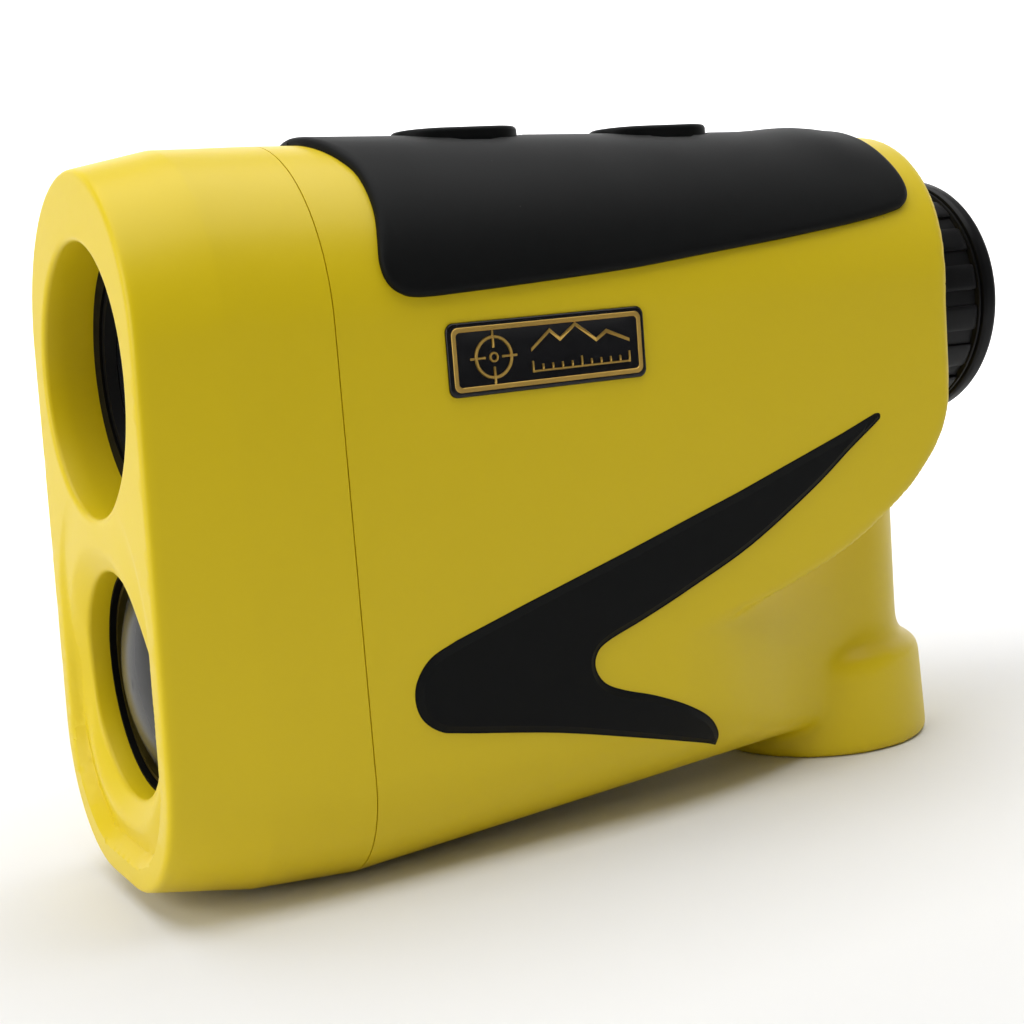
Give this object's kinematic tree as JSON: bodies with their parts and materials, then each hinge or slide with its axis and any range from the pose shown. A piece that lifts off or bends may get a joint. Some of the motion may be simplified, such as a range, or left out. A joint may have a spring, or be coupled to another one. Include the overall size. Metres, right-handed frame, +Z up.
{
  "type": "laser rangefinder",
  "caption": "Handheld monocular laser rangefinder with sighting lens over receiver lens, rubber-padded grip, top push buttons, fluted eyepiece and screw-capped battery well",
  "frame": {"origin": "Centre of the overall box in X and Y, on the level surface that the grip foot and the front of the keel stand on.", "axes": "-Y is the way the instrument looks, +Y points out of the eyepiece to the user, +X is the left side of the instrument, +Z is up."},
  "size_m": [0.0386, 0.1118, 0.0772],
  "materials": {
    "yellow_paint": "satin yellow lacquer with a very fine orange peel",
    "soft_rubber": "matte soft-touch black",
    "button_rubber": "matte black",
    "seal_rubber": "smooth black",
    "badge_brass": "brushed with black enamel fill",
    "contact_brass": "plated",
    "gold_ring": "dull anodised olive gold",
    "screw_steel": "zinc-nickel plated",
    "black_plastic": "moulded matte black",
    "cap_plastic": "fine-textured matte black",
    "washer_plastic": "slippery low-friction grey",
    "switch_white": "moulded",
    "chip_black": "epoxy",
    "can_sleeve": "printed sleeve",
    "cell_wrap": "plain shrink wrap",
    "circuit_board": "green solder mask",
    "black_anodised": "black anodised",
    "bare_aluminium": "machined",
    "lens_glass": "broadband coated",
    "prism_glass": "polished",
    "display_glass": "thin sandwich",
    "receiver_glass": "grey dome with infrared coating",
    "filter_glass": "dark red"
  },
  "bodies": {
    "housing": {"left_shell": "yellow_paint", "right_shell": "yellow_paint", "front_bezel": "yellow_paint", "top_pad": "soft_rubber", "left_trim": "soft_rubber", "right_trim": "soft_rubber", "nameplate": "badge_brass", "shell_screws": "screw_steel", "chassis": "black_plastic", "chassis_screws": "screw_steel", "objective_barrel": "black_plastic", "objective_ring": "black_anodised", "objective_lens": "lens_glass", "objective_flint": "lens_glass", "prism_housing": "black_plastic", "prism_cover": "black_plastic", "half_prism": "prism_glass", "roof_prism": "prism_glass", "display_frame": "black_plastic", "display_cell": "display_glass", "laser_mount": "bare_aluminium", "laser_diode": "contact_brass", "receiver_barrel": "black_plastic", "receiver_lens": "receiver_glass", "receiver_ring": "gold_ring", "bandpass_filter": "filter_glass", "detector": "contact_brass", "detector_board": "circuit_board", "ocular_tube": "black_anodised", "ring_washer": "washer_plastic", "button_board": "circuit_board", "key_switches": "black_plastic", "main_board": "circuit_board", "board_chips": "chip_black", "pulse_capacitor": "can_sleeve", "battery_liner": "black_plastic", "battery": "cell_wrap", "top_contact": "contact_brass"},
    "power_button": {"power_button": "button_rubber", "power_plunger": "switch_white"},
    "mode_button": {"mode_button": "button_rubber", "mode_plunger": "switch_white"},
    "diopter_ring": {"diopter_ring": "soft_rubber", "eyecup": "soft_rubber"},
    "ocular_cell": {"ocular_cell": "black_anodised", "field_lens": "lens_glass", "eye_lens": "lens_glass", "ocular_spacer": "black_anodised", "ocular_retainer": "black_anodised"},
    "cap_carrier": {"cap_contact": "contact_brass"},
    "battery_cap": {"battery_cap": "cap_plastic", "cap_seal": "seal_rubber"}
  },
  "joints": [
    {"name": "power_press", "type": "slide", "parent": "housing", "child": "power_button", "axis": [0, 0, -1], "range_m": [0, 0.0006], "stiffness_N_per_m": 3000, "springref_m": -0.0004},
    {"name": "mode_press", "type": "slide", "parent": "housing", "child": "mode_button", "axis": [0, 0, -1], "range_m": [0, 0.0006], "stiffness_N_per_m": 3000, "springref_m": -0.0004},
    {"name": "diopter_turn", "type": "hinge", "parent": "housing", "child": "diopter_ring", "pos_m": [0, 0.0501, 0.0538], "axis": [0, 1, 0], "range_deg": [-90, 90]},
    {"name": "ocular_travel", "type": "slide", "parent": "housing", "child": "ocular_cell", "axis": [0, 1, 0], "range_m": [-0.0015, 0.0015]},
    {"name": "cap_travel", "type": "slide", "parent": "housing", "child": "cap_carrier", "axis": [0, 0, -1], "range_m": [0, 0.003]},
    {"name": "cap_turn", "type": "hinge", "parent": "cap_carrier", "child": "battery_cap", "pos_m": [0, 0.0361, 0.0014], "axis": [0, 0, -1], "range_deg": [0, 720]}
  ],
  "couplings": [
    {"joint": "diopter_turn", "follows": "ocular_travel", "rad_per_m": 1047.2},
    {"joint": "cap_turn", "follows": "cap_travel", "rad_per_m": 4188.8}
  ]
}
